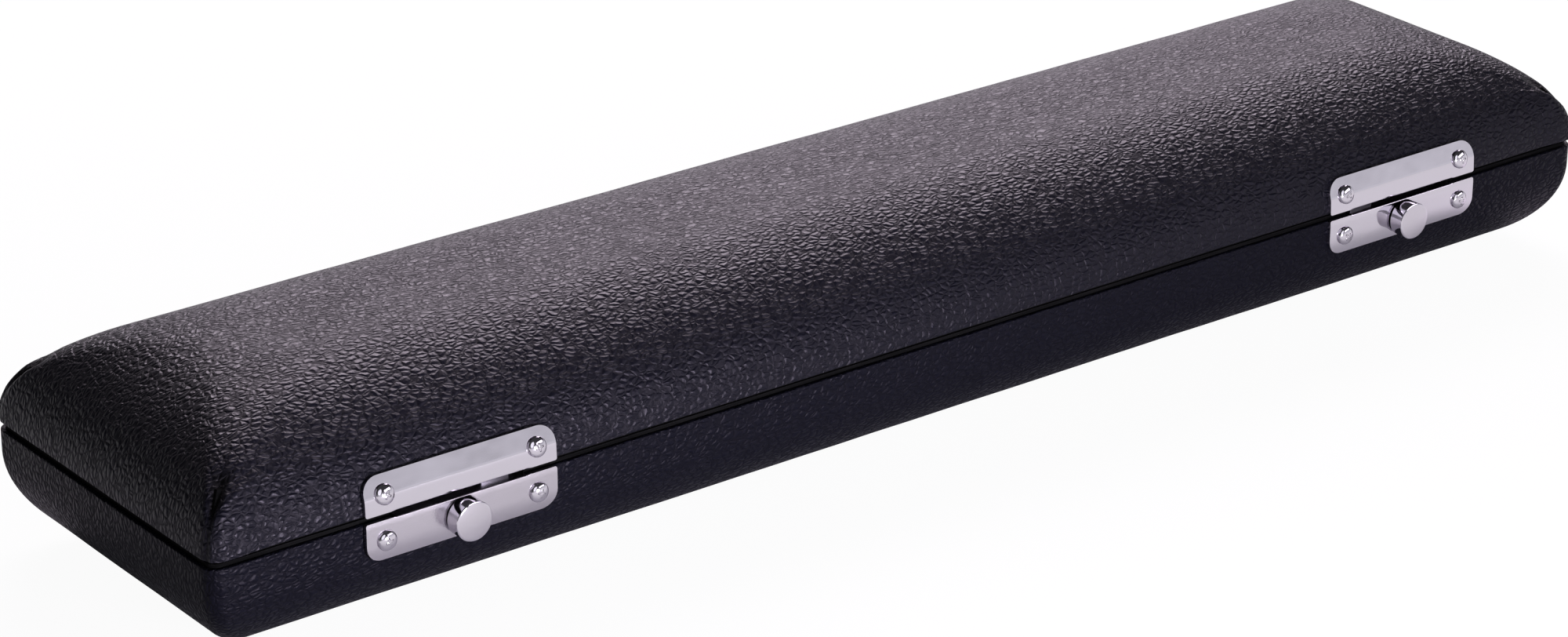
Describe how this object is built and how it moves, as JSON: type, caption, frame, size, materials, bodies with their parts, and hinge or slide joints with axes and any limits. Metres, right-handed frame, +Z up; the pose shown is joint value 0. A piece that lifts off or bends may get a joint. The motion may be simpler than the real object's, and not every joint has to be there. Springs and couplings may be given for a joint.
{
  "type": "flute case",
  "caption": "Slim leather-covered case with a domed hinged lid, sliding latches at the front, and plush-lined spaces for the joints of a flute.",
  "frame": {"origin": "middle of the underside, on the surface that the case stands on", "axes": "+X along the case to the right seen from the latches, +Y from the latches to the hinges, +Z up through the lid"},
  "size_m": [0.395, 0.101, 0.0525],
  "materials": {
    "black_leather": "pebbled grain, satin",
    "stained_wood": "stained black at the rims, satin",
    "plush": "short pile",
    "wadding": "loose cotton wadding",
    "polished_chrome": "mirror polish",
    "plain_steel": "plain rolled steel"
  },
  "bodies": {
    "base": {"base_floor": "stained_wood", "base_front_wall": "stained_wood", "base_back_wall": "stained_wood", "base_left_end": "stained_wood", "base_right_end": "stained_wood", "base_cover": "black_leather", "bottom_panel": "black_leather", "insert_floor_pad": "plush", "insert_front_rail": "plush", "insert_centre_rail": "plush", "insert_back_rail": "plush", "insert_left_block": "plush", "insert_right_block": "plush", "insert_divider": "plush", "latch_left_base_plate": "polished_chrome", "latch_left_guide": "plain_steel", "latch_left_spring": "plain_steel", "latch_left_base_screws": "polished_chrome", "latch_right_base_plate": "polished_chrome", "latch_right_guide": "plain_steel", "latch_right_spring": "plain_steel", "latch_right_base_screws": "polished_chrome", "hinge_left_base_leaf": "polished_chrome", "hinge_left_pin": "plain_steel", "hinge_left_base_screws": "polished_chrome", "hinge_right_base_leaf": "polished_chrome", "hinge_right_pin": "plain_steel", "hinge_right_base_screws": "polished_chrome"},
    "lid": {"lid_dome": "stained_wood", "lid_front_wall": "stained_wood", "lid_back_wall": "stained_wood", "lid_left_end": "stained_wood", "lid_right_end": "stained_wood", "lid_cover": "black_leather", "lid_wadding": "wadding", "lid_pad": "plush", "lid_wall_lining": "plush", "latch_left_lid_plate": "polished_chrome", "latch_left_tongue": "plain_steel", "latch_left_lid_screws": "polished_chrome", "latch_right_lid_plate": "polished_chrome", "latch_right_tongue": "plain_steel", "latch_right_lid_screws": "polished_chrome", "hinge_left_lid_leaf": "polished_chrome", "hinge_left_lid_screws": "polished_chrome", "hinge_right_lid_leaf": "polished_chrome", "hinge_right_lid_screws": "polished_chrome"},
    "latch_left": {"latch_left_slide": "plain_steel", "latch_left_knob": "polished_chrome"},
    "latch_right": {"latch_right_slide": "plain_steel", "latch_right_knob": "polished_chrome"}
  },
  "joints": [
    {"name": "lid_hinge", "type": "hinge", "parent": "base", "child": "lid", "pos_m": [0, 0.0474, 0.0265], "axis": [-1, 0, 0], "range_deg": [0, 105]},
    {"name": "latch_left_push", "type": "slide", "parent": "base", "child": "latch_left", "axis": [-1, 0, 0], "range_m": [0, 0.0025], "stiffness_N_per_m": 300, "springref_m": -0.002, "deforming": ["latch_left_spring"]},
    {"name": "latch_right_push", "type": "slide", "parent": "base", "child": "latch_right", "axis": [1, 0, 0], "range_m": [0, 0.0025], "stiffness_N_per_m": 300, "springref_m": -0.002, "deforming": ["latch_right_spring"]}
  ]
}
